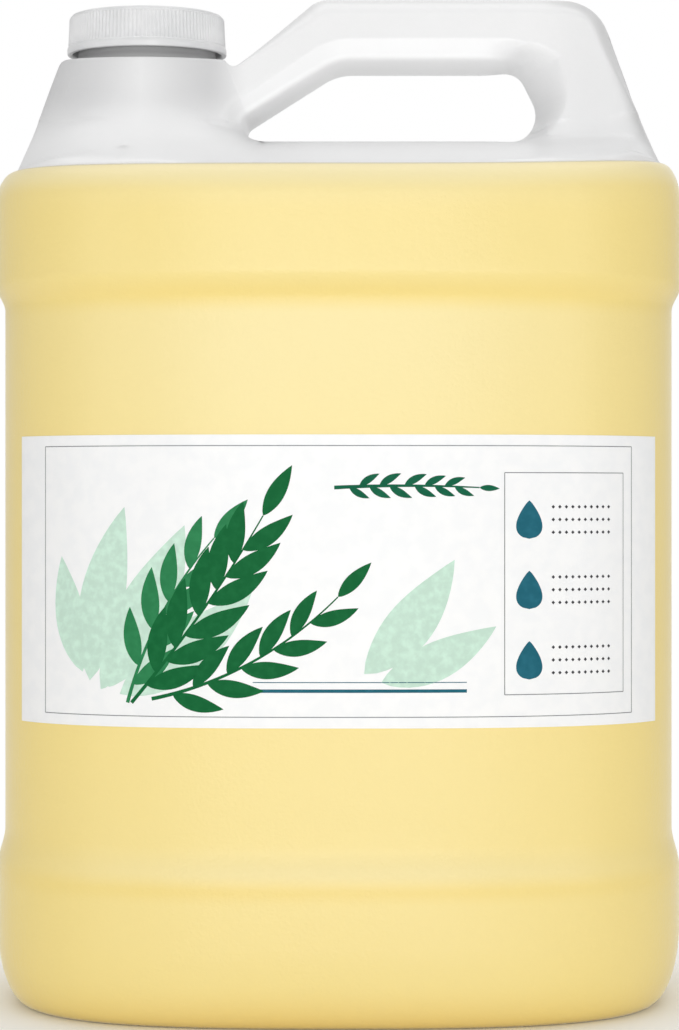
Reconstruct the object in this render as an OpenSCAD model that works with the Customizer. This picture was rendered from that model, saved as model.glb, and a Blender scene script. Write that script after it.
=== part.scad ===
// One-gallon blow-moulded jug with a hollow handle, a ribbed screw cap, a label and its oil.
// The origin is on the ground at the middle of the plan. +Z is up and the label faces -Y.

/* [Body] */
// Width of the body at the bumpers
body_w = 172; // [160:1:184]
// Depth of the body at the bumpers
body_d = 138; // [128:1:146]
// Squareness of the plan outline, where 2 is an ellipse
plan_power = 2.9; // [2.5:0.1:3.3]
// Thickness of the blown wall
wall = 1.2; // [0.9:0.1:1.6]
// How far the lower bumper stands inside the upper one
low_bumper_inset = 0.6; // [0:0.1:1.5]
// Height of the rounding at the foot of the body
foot_h = 20; // [14:1:26]
// How far the foot's rounding comes in at the ends
foot_inset = 7.4; // [5:0.2:10]
// How far it comes in at the front and back
foot_inset_front = 9; // [6:0.2:12]
// Width of the flat ring that the jug stands on
stand_ring = 4; // [3:0.5:7]
// Height of the pushed-up base above the ground
push_up = 3.5; // [2:0.5:6]

/* [Label panel] */
// How far the label panel lies inside the upper bumper
panel_inset = 2.5; // [1.5:0.1:4]
// Height of the panel's lower edge
panel_low = 43.5; // [38:0.5:50]
// Height of the panel's upper edge
panel_high = 171.5; // [160:0.5:176]
// Height of the slope between the lower bumper and the panel
low_step_h = 10; // [6:0.5:13]
// Height of the slope between the panel and the upper bumper
high_step_h = 7; // [5:0.5:10]
// Height of the label
label_h = 68.6; // [50:0.2:90]
// Height of the label's lower edge
label_low = 71.3; // [55:0.2:78]
// How far the label reaches to each side of the middle
label_reach = 76.3; // [60:0.1:78]
// Thickness of the label
label_t = 0.2; // [0.1:0.05:0.4]
// Layer of glue behind the label
glue = 0.05; // [0.02:0.01:0.1]

/* [Shoulder] */
// Height of the shoulder edge at the middle of the front
shoulder_z = 203.8; // [196:0.2:208]
// How much higher the shoulder edge is at the neck end
neck_end_rise = 1.7; // [0:0.1:4]
// How much higher the shoulder edge is at the handle end
handle_end_rise = 5.2; // [0:0.1:7]
// Height over which the shoulder edge is rounded
shoulder_round = 8; // [5:0.5:12]
// How far that rounding comes in at the ends
edge_side = 4.5; // [1:0.5:6]
// How far that rounding comes in at the front and back
edge_front = 7; // [4:0.5:10]
// Height of the ledge that the neck stands on
ledge_z = 235; // [232:0.5:238]
// Radius of that ledge
ledge_r = 20; // [19.5:0.1:22]

/* [Handle] */
// Height of the top of the handle
handle_z = 251.4; // [247:0.2:256]
// Thickness of the handle's bar, front to back
bar_t = 26; // [20:0.5:30]
// Thickness at the handle's foot
leg_t = 42; // [32:1:50]
// Height of the floor of the finger gap
gap_low = 215.2; // [213:0.1:217]
// Height of the finger gap
gap_h = 18.1; // [16:0.1:20]
// Left end of the gap's floor, before its corner is rounded
gap_left = -29.5; // [-31:0.1:-28]
// Right end of the gap's floor, before its corner is rounded
gap_right = 54.5; // [50:0.1:57]
// Slope of the underside of the handle's sloping leg, in degrees
leg_slope = 31.6; // [30:0.1:34]
// Slope of the top of that leg, in degrees
top_slope = 40.9; // [38:0.1:43]
// Where the handle's top starts on the neck side
top_left = -5.3; // [-8:0.1:-3]
// Where the handle's top ends
top_right = 65.6; // [62:0.1:68]
// Width of the bevel under the bar
bar_bevel = 6.5; // [4:0.1:8]
// Width of the scoop at the far end of the gap
end_bevel = 10; // [6:0.1:12]
// Rounding of the handle's outer edges
handle_edge = 5; // [3:0.1:6]

/* [Neck] */
// Distance of the neck's axis from the middle of the jug
neck_x = -48.7; // [-50:0.1:-47]
// Outer diameter of the neck, at the root of its thread
neck_d = 34.9; // [34.2:0.1:35.2]
// Outer diameter of the neck's thread
thread_d = 37.1; // [36.5:0.1:37.2]
// Diameter of the mouth
mouth_d = 31; // [28:0.1:31.6]
// Height of the neck above its ledge
neck_h = 10.4; // [9.8:0.1:12]
// Distance from one turn of the thread to the next
pitch = 4.233; // [4:0.001:4.6]
// Angle that each thread goes round, in degrees
thread_angle = 400; // [360:10:440]
// Height of a thread ridge at its root
ridge_h = 2; // [1.6:0.1:2.2]
// Drop from the top of the neck to its thread
thread_drop = 1.3; // [1:0.1:1.6]

/* [Cap] */
// Diameter of the cap at its rim
cap_d = 40.4; // [40.1:0.1:42]
// How much narrower the cap is at its top
cap_taper = 1; // [0.4:0.1:1.2]
// Thickness of the cap's top
cap_top_t = 1.2; // [0.9:0.1:1.8]
// Height of the cap
cap_h = 10.2; // [9.6:0.1:10.6]
// Thickness of the liner
liner_t = 1; // [0.6:0.1:1.3]
// Gap all round between the neck's thread and the cap's skirt
skirt_clearance = 0.25; // [0.2:0.05:0.4]
// Gap all round between the cap's thread and the neck
crest_clearance = 0.4; // [0.3:0.05:0.6]
// Gap between the flanks of the two threads, measured up and down
flank_clearance = 0.35; // [0.3:0.05:0.5]
// Number of ribs round the cap
ribs = 120; // [80:4:150]
// Depth of the grooves between the ribs
rib_depth = 0.3; // [0.1:0.05:0.35]
// Height of the smooth bead under the ribs
bead_h = 1.6; // [1.2:0.1:2.2]
// How far the liner stands clear of the skirt
liner_clearance = 0.1; // [0.05:0.05:0.3]

/* [Oil] */
// Height of the oil
oil_z = 202; // [180:0.5:202]
// Gap between the oil and the wall
oil_clearance = 0.05; // [0.02:0.01:0.1]

/* [Hidden] */
$fn = 64;

half_w = body_w / 2;
half_d = body_d / 2;
crease_w = half_w - edge_side;
crease_d = half_d - edge_front;
gap_high = gap_low + gap_h;
land_z = ledge_z + neck_h;
cap_top_z = land_z + liner_t + cap_top_t;
cap_low_z = cap_top_z - cap_h;
panel_w = half_w - panel_inset;
panel_d = half_d - panel_inset;
// Segments across the front, from one end of the jug to the other
front_n = 22;
// Corner radii of the finger gap: neck end, sloping leg, far top, far floor
gap_radii = [2.56, 13, 6, 7.1];
// How far the right end of the gap leans, as run over rise
gap_lean = 0.5;

// ---- small helpers ----
function mix(a, b, t) = a + (b - a) * t;
function clamp01(t) = max(0, min(1, t));
function ease(t) = let (s = clamp01(t)) s * s * (3 - 2 * s);
function softmax(a, b, k) = let (h = clamp01(0.5 + (a - b) / (2 * k))) mix(b, a, h) + k * h * (1 - h);
function mirrored(p) = [p[0], -p[1], p[2]];
function total(v, i = 0) = i < len(v) ? v[i] + total(v, i + 1) : 0;

// Height of a rounded edge at t = 0 (its foot) to 1 (full), a quarter of a superellipse
function quarter(t, power) = pow(max(0, 1 - pow(1 - clamp01(t), power)), 1 / power);

// Points of a corner at b between a and c, rounded with radius r in n steps
function corner(a, b, c, r, n) =
    let (
        u = (a - b) / norm(a - b),
        v = (c - b) / norm(c - b),
        half = acos(max(-1, min(1, u * v))) / 2,
        reach = r / tan(half),
        middle = b + (u + v) / norm(u + v) * (r / sin(half)),
        from = b + u * reach - middle,
        sweep = 180 - 2 * half,
        turn = u[0] * v[1] - u[1] * v[0] > 0 ? -1 : 1
    )
    [for (i = [0:n]) let (g = turn * sweep * i / n)
        middle + [from[0] * cos(g) - from[1] * sin(g), from[0] * sin(g) + from[1] * cos(g)]];

// n + 1 points at equal steps along a path
function lengths(path) = [for (i = [0:len(path) - 2]) norm(path[i + 1] - path[i])];
function along(path, d, i = 0) =
    let (step = norm(path[i + 1] - path[i]))
    d <= step || i == len(path) - 2
        ? mix(path[i], path[i + 1], step > 0 ? min(1, d / step) : 0)
        : along(path, d - step, i + 1);
function spread(path, n) =
    let (whole = total(lengths(path)))
    [for (i = [0:n]) along(path, whole * i / n)];

// ---- outlines in the plane of the mould's parting line, as [x, z] ----
function crease_z(x) =
    shoulder_z + (x < 0 ? neck_end_rise : handle_end_rise) * pow(min(1, abs(x) / crease_w), 3);

// How far past the ledge the dip between the neck and the handle lies
dip_run = 2.1;
dip_x = neck_x + ledge_r + dip_run;
// How far the outline runs past the ledge before its corners are rounded, at the end and at the dip
ledge_lip = [1.2, 0.5];
// Corner radii of the outline: ledge at the end, ledge at the dip, dip, start and end of the handle's top
outline_radii = [2.5, 0.8, 1.5, 8, 12];
neck_end = [-crease_w, crease_z(-crease_w)];
handle_end = [crease_w, crease_z(crease_w)];
ledge_near = [neck_x - ledge_r - ledge_lip[0], ledge_z];
ledge_far = [neck_x + ledge_r + ledge_lip[1], ledge_z];
dip = [dip_x, handle_z - (top_left - dip_x) * tan(top_slope)];
top_near = [top_left, handle_z];
top_far = [top_right, handle_z];
ledge_near_arc = corner(neck_end, ledge_near, ledge_far, outline_radii[0], 2);
ledge_far_arc = corner(ledge_near, ledge_far, dip, outline_radii[1], 1);
dip_arc = corner(ledge_far, dip, top_near, outline_radii[2], 2);
top_near_arc = corner(dip, top_near, top_far, outline_radii[3], 3);
top_far_arc = corner(top_near, top_far, handle_end, outline_radii[4], 4);

gap_a = [gap_left, gap_low];
gap_b = [gap_left + gap_h / tan(leg_slope), gap_high];
gap_c = [gap_right - gap_h * gap_lean, gap_high];
gap_d = [gap_right, gap_low];
arc_a = corner(gap_d, gap_a, gap_b, gap_radii[0], 6);
arc_b = corner(gap_a, gap_b, gap_c, gap_radii[1], 3);
arc_c = corner(gap_b, gap_c, gap_d, gap_radii[2], 4);
arc_d = corner(gap_c, gap_d, gap_a, gap_radii[3], 4);

// ---- the blown shape ----
// Half plan outline, from the handle end at i = 0 round the front to the neck end
function plan(i, a, b) =
    let (t = 180 * i / front_n, p = 2 / plan_power)
    [a * sign(cos(t)) * pow(abs(cos(t)), p), i % front_n == 0 ? 0 : -b * pow(sin(t), p)];

// Rows of the body from the shoulder edge down: height, half width, half depth, share of the edge's rise
foot_w = half_w - low_bumper_inset;
foot_d = half_d - low_bumper_inset;
stand_w = foot_w - foot_inset;
stand_d = foot_d - foot_inset_front;
// Width of the slope from the stand ring up to the pushed-up base
push_up_run = 8;
body_rows = concat(
    [for (g = [90, 68, 45, 22, 0]) [
        shoulder_z - shoulder_round * (1 - sin(g)),
        half_w - edge_side * (1 - cos(g)),
        half_d - edge_front * (1 - cos(g)),
        sin(g)
    ]],
    [for (t = [0, 0.33, 0.67, 1]) [
        panel_high + high_step_h * (1 - t),
        half_w - panel_inset * ease(t),
        half_d - panel_inset * ease(t),
        0
    ]],
    [for (t = [0, 0.33, 0.67, 1]) [
        panel_low - low_step_h * t,
        mix(panel_w, foot_w, ease(t)),
        mix(panel_d, foot_d, ease(t)),
        0
    ]],
    [for (g = [0, 25, 50, 72, 90]) [
        foot_h * (1 - sin(g)),
        foot_w - foot_inset * (1 - cos(g)),
        foot_d - foot_inset_front * (1 - cos(g)),
        0
    ]],
    [
        [0, stand_w - stand_ring, stand_d - stand_ring, 0],
        [push_up, stand_w - stand_ring - push_up_run, stand_d - stand_ring - push_up_run, 0],
        [push_up, 0, 0, 0]
    ]
);
function body_point(i, row) =
    let (p = plan(i, row[1], row[2]))
    [p[0], p[1], row[0] + row[3] * (crease_z(p[0]) - shoulder_z)];

// ---- half thickness of the shoulder, neck cone and handle at a point of the parting plane ----
// Reach of the neck cone's foot towards the handle, and how far it runs past the end's own line
cone_reach = 34;
cone_overlap = 0.4;
// How much the cone's front leans, the plan's powers at its foot and top, and how fast its flare fades
cone_slope = 15;
cone_powers = [2.6, 2.05];
flare_power = 4;
// Distances over which the handle's thickness fades in, along the far leg and up from the gap's floor
handle_fade = [12, 3];
// Half thickness of the deck's ridge under the gap, and the height over which the deck fades above it
deck_ridge = 9;
deck_fade = 5;
// Power of the plan over the deck, the height over which it is reached and its room beyond the ledge
deck_power = 2.4;
deck_power_h = 8;
limit_room = 0.6;
// Blend between the forms: its least width, its growth and the height over which it grows
blend_least = 0.3;
blend_reach = 14;
blend_h = 9;
// The same growth and height for the blend between the forms and the plan's limit
limit_reach = 2;
limit_h = 6;
near_side = ledge_near - neck_end;
function cone_t(x, z) =
    let (
        t = clamp01((z - shoulder_z) / (ledge_z - shoulder_z)),
        near = neck_end[0] - cone_overlap + near_side[0] * (z - neck_end[1]) / near_side[1],
        far = mix(neck_x + cone_reach, neck_x + ledge_r, t),
        power = mix(cone_powers[0], cone_powers[1], ease(2 * t)),
        off = abs(2 * x - near - far) / (far - near),
        flare = (crease_d - ledge_r - cone_slope) * pow(1 - t, flare_power)
    )
    off < 1 ? (ledge_r + cone_slope * (1 - t) + flare) * pow(1 - pow(off, power), 1 / power) : 0;
function handle_t(x, z) =
    mix(bar_t, leg_t, clamp01((handle_z - z) / (handle_z - gap_low))) / 2
    * max(ease((x - gap_right + handle_fade[0]) / handle_fade[0]), ease((z - gap_low) / handle_fade[1]));
function deck_t(x, z) =
    mix(crease_d, deck_ridge, clamp01((z - crease_z(x)) / (gap_low - crease_z(x))))
    * (1 - ease((z - gap_low) / deck_fade));
function limit_t(x, z) =
    let (
        end = x < 0 ? neck_end : handle_end,
        edge = x < 0
            ? mix(crease_w, limit_room - ledge_near[0], clamp01((z - end[1]) / (ledge_z - end[1])))
            : mix(crease_w, top_right, clamp01((z - end[1]) / (handle_z - end[1]))),
        power = mix(plan_power, deck_power, ease((z - crease_z(x)) / deck_power_h))
    )
    crease_d * pow(max(0, 1 - pow(abs(x) / edge, power)), 1 / power);
function half_t(x, z) =
    let (
        soft = blend_least + blend_reach * ease((z - crease_z(x)) / blend_h),
        upper = softmax(softmax(deck_t(x, z), handle_t(x, z), soft), cone_t(x, z), soft)
    )
    -softmax(-limit_t(x, z), -upper, blend_least + limit_reach * ease((z - crease_z(x)) / limit_h));

// Columns round the finger gap: a point on the gap, one on the outline, bevel width and edge width
function leg(gap_path, outline, n, bevels, edges) =
    let (g = spread(gap_path, n), o = spread(outline, n))
    [for (i = [0:n - 1]) [g[i], o[i], mix(bevels[0], bevels[1], i / n), mix(edges[0], edges[1], i / n)]];
// Bevel widths under the gap, on the cone's flank and beside the neck
deck_bevel = 2.5;
flank_bevel = 4;
neck_bevel = 5;
// Edge widths at the foot of the cone and the handle, and beside the neck
foot_edge = 0.5;
neck_edge = 3;
// How round the bevel is, from 1 for a flat one
bevel_power = 1.4;
shoulder_edge = [for (i = [0:front_n]) let (p = body_point(i, body_rows[0])) [p[0], p[2]]];
deck_gap = spread([arc_d[4], arc_a[0]], front_n);
flank_n = 7;
flank = leg([arc_a[0], arc_a[1], arc_a[2]], concat([neck_end], ledge_near_arc), flank_n,
    [deck_bevel, flank_bevel], [foot_edge, neck_edge]);
columns = concat(
    [for (i = [0:front_n]) [deck_gap[i], shoulder_edge[i], deck_bevel, 0]],
    [for (i = [1:flank_n - 1]) flank[i]],
    leg([for (i = [2:5]) arc_a[i]], [ledge_near_arc[2], ledge_far_arc[0]], 9,
        [flank_bevel, neck_bevel], [neck_edge, neck_edge]),
    leg([arc_a[5], arc_a[6], arc_b[0]], concat(ledge_far_arc, dip_arc, [top_near_arc[0]]), 9,
        [neck_bevel, bar_bevel], [neck_edge, handle_edge]),
    leg(arc_b, top_near_arc, 3, [bar_bevel, bar_bevel], [handle_edge, handle_edge]),
    leg([arc_b[3], arc_c[0]], [top_near_arc[3], top_far_arc[0]], 5, [bar_bevel, bar_bevel],
        [handle_edge, handle_edge]),
    leg(arc_c, top_far_arc, 4, [bar_bevel, end_bevel], [handle_edge, handle_edge]),
    leg(concat([arc_c[4]], arc_d), [top_far_arc[4], handle_end], 8, [end_bevel, deck_bevel],
        [handle_edge, foot_edge])
);
column_n = len(columns);

// One column of points from the finger gap out to the outline or the shoulder edge
function column(i) =
    let (
        c = columns[i],
        whole = norm(c[1] - c[0]),
        on_deck = c[3] == 0,
        fit = min(1, 0.9 * whole / (c[2] + c[3])),
        bevel = c[2] * fit,
        edge = on_deck ? 0.55 * (whole - bevel) : c[3] * fit,
        steps = concat(
            [for (t = [0, 0.08, 0.3, 0.65]) bevel * t],
            [for (t = [0, 0.2, 0.4, 0.6, 0.8]) mix(bevel, whole - edge, t)],
            [for (t = on_deck ? [1, 0.67, 0.33] : [1, 0.5, 0.15]) whole - edge * t]
        )
    )
    concat(
        [for (d = steps) let (
            p = mix(c[0], c[1], d / whole),
            inner = quarter(d / bevel, bevel_power),
            outer = on_deck ? 1 : quarter((whole - d) / edge, 2)
        ) [p[0], d == 0 ? 0 : -half_t(p[0], p[1]) * inner * outer, p[1]]],
        [on_deck ? body_point(i, body_rows[0]) : [c[1][0], 0, c[1][1]]]
    );
upper_n = 12;
sheet = [for (i = [0:column_n - 1]) concat(
    column(i),
    i <= front_n ? [for (r = [1:len(body_rows) - 1]) body_point(i, body_rows[r])] : []
)];

module blown() {
    body_n = len(body_rows) - 1;
    front = concat(
        [for (i = [0:column_n - 1], r = [0:upper_n]) sheet[i][r]],
        [for (i = [0:front_n], r = [1:body_n]) sheet[i][upper_n + r]]
    );
    count = len(front);
    function id(i, r) = r <= upper_n
        ? (i % column_n) * (upper_n + 1) + r
        : column_n * (upper_n + 1) + i * body_n + r - upper_n - 1;
    function quad(i, r) = [
        [id(i + 1, r + 1), id(i + 1, r), id(i, r)],
        [id(i, r + 1), id(i + 1, r + 1), id(i, r)]
    ];
    faces = concat(
        [for (i = [0:column_n - 1], r = [0:upper_n - 1], f = quad(i, r)) f],
        [for (i = [0:front_n - 1], r = [upper_n:upper_n + body_n - 1], f = quad(i, r)) f]
    );
    polyhedron(
        points = concat(front, [for (p = front) mirrored(p)]),
        faces = concat(faces, [for (f = faces) [f[2] + count, f[1] + count, f[0] + count]])
    );
}

// The space inside the body, drawn in by a gap and cut off level at a height. With a roof it goes
// on up under the slopes of the deck.
floor_z = push_up + wall;
// Drop of the roof under the deck, as a share of the wall, and how far its ends come in
roof_drop = 1.3;
roof_lean = 8;
module inside(gap, top, roofed = false) {
    drawn_in = wall + gap;
    shares = roofed ? [0.2, 0.5, 0.8, 0.95] : [];
    rows = concat(
        [for (i = [len(body_rows) - 4:-1:0]) let (
            row = body_rows[i],
            z = row[0] < foot_h ? floor_z + gap + row[0] * (1 - (floor_z + gap) / foot_h) : row[0],
            lowered = i < 5 ? z - drawn_in : z
        ) [min(lowered, top), row[1] - drawn_in, row[2] - drawn_in]],
        [for (k = shares) [
            mix(shoulder_z, gap_low, k) - roof_drop * wall,
            crease_w - roof_lean * k - drawn_in,
            mix(crease_d, deck_ridge, k) - drawn_in
        ]]
    );
    points = [for (row = rows) each concat(
        [for (i = [0:front_n]) let (p = plan(i, row[1], row[2])) [p[0], p[1], row[0]]],
        [for (i = [front_n - 1:-1:1]) let (p = plan(i, row[1], row[2])) [p[0], -p[1], row[0]]]
    )];
    n = 2 * front_n;
    last = n * (len(rows) - 1);
    polyhedron(
        points = points,
        faces = concat(
            [[for (i = [n - 1:-1:0]) i]],
            [for (r = [0:len(rows) - 2], i = [0:n - 1]) let (a = n * r + i, b = n * r + (i + 1) % n)
                each [[b + n, a + n, a], [b, b + n, a]]],
            [[for (i = [0:n - 1]) last + i]]
        )
    );
}

// A round passage in the plane of the parting line, from a to b, given as [x, z]
module passage(a, b, r) {
    run = b - a;
    translate([a[0], 0, a[1]])
        rotate([0, atan2(run[0], run[1]), 0])
            cylinder(r = r, h = norm(run));
}

// The hollow of the handle, which opens into the neck cone at one end and the body at the other
bar_core_r = 5.5;
near_core_r = 4;
far_core_r = 6.5;
// How much wider the round elbows are than the passages, and how far the legs' passages run on
elbow_extra = 0.6;
leg_run = 1.4;
near_elbow = (top_near + gap_b) / 2;
far_elbow = (top_far + gap_c) / 2;
near_run = (dip + arc_a[3]) / 2 - near_elbow;
far_run = (handle_end + gap_d) / 2 - far_elbow;
module handle_hollow() {
    passage(near_elbow, near_elbow + near_run * leg_run, near_core_r);
    passage(near_elbow, far_elbow, bar_core_r);
    passage(far_elbow, far_elbow + far_run * leg_run, far_core_r);
    translate([near_elbow[0], 0, near_elbow[1]])
        sphere(r = bar_core_r + elbow_extra);
    translate([far_elbow[0], 0, far_elbow[1]])
        sphere(r = far_core_r + elbow_extra);
}

// The space under the neck cone: its radius at the foot without the wall, its extra wall at the top and
// how far it reaches below the body's roof
cone_foot_r = 33;
cone_top_inset = 1.5;
cone_sink = 1;
module cone_hollow() {
    low = shoulder_z - 2 * wall - cone_sink;
    translate([neck_x, 0, low])
        cylinder(r1 = cone_foot_r - wall, r2 = ledge_r - wall - cone_top_inset, h = ledge_z - wall - low);
}

// Height of a thread ridge at its crest, as a share of its height at the root
crest_share = 0.4;
// Turn of each step round a thread, in degrees
thread_step = 12;

// A screw ridge round +Z, rising anticlockwise. Its root lies inside the wall that carries it.
module ridge(root_r, crest_r, start_z, start_angle) {
    n = ceil(thread_angle / thread_step);
    crest_h = ridge_h * crest_share;
    rings = [for (i = [0:n]) let (
        g = start_angle + thread_angle * i / n,
        z = start_z + pitch * thread_angle * i / n / 360,
        full = ease((min(i, n - i) + 1) / 4),
        r = mix(root_r, crest_r, full)
    ) [for (p = [[root_r, -ridge_h], [r, -crest_h], [r, crest_h], [root_r, ridge_h]])
        [p[0] * cos(g), p[0] * sin(g), z + p[1] / 2]]];
    sides = [for (i = [0:n - 1], k = [0:3]) let (
        a = 4 * i + k,
        b = 4 * i + (k + 1) % 4
    ) [[a, a + 4, b + 4], [a, b + 4, b]]];
    ends = [[0, 1, 2], [0, 2, 3], [4 * n + 2, 4 * n + 1, 4 * n], [4 * n + 3, 4 * n + 2, 4 * n]];
    faces = concat([for (s = sides) each s], ends);
    polyhedron(
        points = [for (ring = rings) each ring],
        faces = crest_r > root_r ? [for (f = faces) [f[2], f[1], f[0]]] : faces
    );
}

thread_z = land_z - thread_drop - ridge_h / 2 - pitch * thread_angle / 360;
// How deep a thread's root lies in its wall
root_sink = 0.3;
// Height of the sloped root of the neck, which ends under the cap's rim, and how far it stays proud
neck_root_h = 1.9;
neck_root_proud = 0.1;
// How far the mouth's bore reaches below the ledge's wall, and past an open end
bore_run = 4;
cut_over = 1;

module jug() {
    color([0.95, 0.95, 0.93, 0.6])
    difference() {
        union() {
            blown();
            translate([neck_x, 0, ledge_z - wall / 2])
                cylinder(d = neck_d, h = neck_h + wall / 2);
            translate([neck_x, 0, ledge_z - wall / 2])
                cylinder(r1 = ledge_r, r2 = neck_d / 2 + neck_root_proud, h = neck_root_h + wall / 2);
            translate([neck_x, 0, 0])
                ridge(neck_d / 2 - root_sink, thread_d / 2, thread_z, 0);
        }
        inside(0, shoulder_z, true);
        cone_hollow();
        handle_hollow();
        translate([neck_x, 0, ledge_z - wall - bore_run])
            cylinder(d = mouth_d, h = neck_h + wall + bore_run + cut_over);
    }
}

// ---- the closure ----
skirt_bore = thread_d + 2 * skirt_clearance;
cap_crest_d = neck_d + 2 * crest_clearance;
// Drop from the neck's thread to the cap's, so that the flanks keep their clearance
thread_offset = ridge_h * (1 + crest_share) / 2 + flank_clearance;
// Height of the start of the cap's thread above its rim
cap_thread_rise = 1.4;
cap_thread_low = cap_low_z + cap_thread_rise;
cap_thread_angle = (cap_thread_low - thread_z + thread_offset) / pitch * 360;
bead_top = cap_low_z + bead_h;
// Height of the slope over the bead, and of the bevel round the top
bead_slope_h = 0.5;
bevel_h = 0.8;
// How far the ribs stand back from the round top and rim
rib_set_back = 0.1;

// Outline of the ribbed skirt: one tooth and one groove for each rib
function ribbed(r) =
    [for (i = [0:2 * ribs - 1]) let (
        g = 180 * i / ribs,
        here = r - (i % 2) * rib_depth
    ) [here * cos(g), here * sin(g)]];

module cap() {
    top_r = cap_d / 2 - cap_taper / 2;
    color([0.9, 0.9, 0.9])
    translate([neck_x, 0, 0]) {
        difference() {
            union() {
                translate([0, 0, cap_low_z])
                    cylinder(r = cap_d / 2, h = bead_h);
                translate([0, 0, bead_top])
                    cylinder(r1 = cap_d / 2, r2 = top_r, h = bead_slope_h);
                translate([0, 0, bead_top])
                    linear_extrude(cap_h - bead_h - bevel_h)
                        polygon(ribbed(top_r - rib_set_back));
                translate([0, 0, cap_top_z - bevel_h])
                    cylinder(r1 = top_r, r2 = top_r - bevel_h, h = bevel_h);
            }
            translate([0, 0, cap_low_z - cut_over])
                cylinder(d = skirt_bore, h = cap_h - cap_top_t + cut_over);
        }
        ridge(skirt_bore / 2 + root_sink, cap_crest_d / 2, cap_thread_low, cap_thread_angle);
    }
}

module cap_liner() {
    color([0.85, 0.87, 0.86])
    translate([neck_x, 0, land_z])
        cylinder(d = skirt_bore - 2 * liner_clearance, h = liner_t);
}

// ---- label and oil ----
// The front of the panel between the label's ends, moved out by a distance
function label_line(out) =
    let (
        line = [for (i = [0:front_n]) plan(i, panel_w, panel_d)],
        between = [for (p = line) if (abs(p[0]) < label_reach) p],
        end = lookup_end(line, label_reach),
        whole = concat([end], between, [[-end[0], end[1]]])
    )
    [for (i = [0:len(whole) - 1]) let (
        along = whole[min(i + 1, len(whole) - 1)] - whole[max(i - 1, 0)],
        side = [along[1], -along[0]] / norm(along)
    ) whole[i] - out * side];
function lookup_end(line, x, i = 0) =
    line[i + 1][0] <= x
        ? mix(line[i + 1], line[i], (x - line[i + 1][0]) / (line[i][0] - line[i + 1][0]))
        : lookup_end(line, x, i + 1);

module label() {
    back = label_line(glue);
    face = label_line(glue + label_t);
    color([0.97, 0.97, 0.96])
    translate([0, 0, label_low])
        linear_extrude(label_h)
            polygon(concat(face, [for (i = [len(back) - 1:-1:0]) back[i]]));
}

module oil_fill() {
    color([0.96, 0.87, 0.58])
    inside(oil_clearance, oil_z);
}

jug();
cap();
cap_liner();
label();
oil_fill();
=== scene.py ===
import math
import bpy
import bmesh
import numpy as np
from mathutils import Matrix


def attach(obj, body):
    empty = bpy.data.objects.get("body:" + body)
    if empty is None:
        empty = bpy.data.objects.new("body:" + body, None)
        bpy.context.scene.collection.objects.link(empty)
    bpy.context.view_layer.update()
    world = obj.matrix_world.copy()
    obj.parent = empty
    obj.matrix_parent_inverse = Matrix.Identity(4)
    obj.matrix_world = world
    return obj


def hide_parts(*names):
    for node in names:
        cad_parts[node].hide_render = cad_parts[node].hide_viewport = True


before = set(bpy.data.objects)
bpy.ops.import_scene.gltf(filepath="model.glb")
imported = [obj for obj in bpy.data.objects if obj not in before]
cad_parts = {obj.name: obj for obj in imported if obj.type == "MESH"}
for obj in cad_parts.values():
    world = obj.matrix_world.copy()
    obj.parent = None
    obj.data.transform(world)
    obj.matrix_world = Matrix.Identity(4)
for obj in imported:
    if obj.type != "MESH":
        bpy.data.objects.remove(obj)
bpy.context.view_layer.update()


# ---- camera ----
# A long lens about 0.8 m in front of the jug, level with its middle, so the step lines stay nearly straight.
eye = bpy.data.objects.new("camera", bpy.data.cameras.new("camera"))
bpy.context.scene.collection.objects.link(eye)
eye.location = (0, -0.8, 0.1246)
eye.rotation_euler = (math.pi / 2, 0, 0)
eye.data.sensor_width = 36
eye.data.lens = 109.9
eye.data.shift_x = 0.001
eye.data.shift_y = -0.0146
eye.data.clip_start = 0.01
bpy.context.scene.camera = eye


# ---- jug ----
# One extrusion-blown shell of natural polyethylene: a rounded box body between two bumpers, a sloped
# shoulder, the neck cone and the hollow handle pinched off round the finger gap. Sizes are in millimetres,
# and those that end in _w and _d are half widths and half depths.
bumper_w = 86
bumper_d = 69
panel_w = 83.5
panel_d = 66.5
foot_w = 85.4
foot_d = 68.4
plan_power = 2.9
shoulder_z = 203.8
shoulder_r = 8
crease_w = 81.5
crease_d = 62
crease_rise_near = 1.7
crease_rise_far = 3.9
bumper_low = 178.5
panel_high = 171.5
panel_low = 43.5
lower_step = 10
foot_r = 20
push_up = 3.5
ledge_z = 235
ledge_r = 20
neck_x = -48.7
cone_low_x = -81.9
cone_low_z = 205.5
cone_lean = 11.6
cone_rise = 29.5
handle_z = 251.4
handle_slope = 40.9
bar_thick = 26
leg_thick = 42
top_left = -5.3
top_right = 65.6
gap_low = 215.2
gap_high = 233.3
gap_near = -29.5
gap_slope = 31.6
gap_far_high = 45.45
gap_far_low = 54.5


def mix(a, b, t):
    # From a to b as t goes from 0 to 1
    return a + (b - a) * t


def ease(t):
    s = np.clip(t, 0, 1)
    return s * s * (3 - 2 * s)


def softmax(a, b, k):
    # The larger of two heights, blended over k where they are close
    h = np.clip(0.5 + (a - b) / (2 * k), 0, 1)
    return mix(b, a, h) + k * h * (1 - h)


def softmin(a, b, k):
    return -softmax(-a, -b, k)


def quarter(t, power):
    # Rises from 0 to 1 as a rounded quarter does
    return np.maximum(0, 1 - (1 - np.clip(t, 0, 1)) ** power) ** (1 / power)


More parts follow.
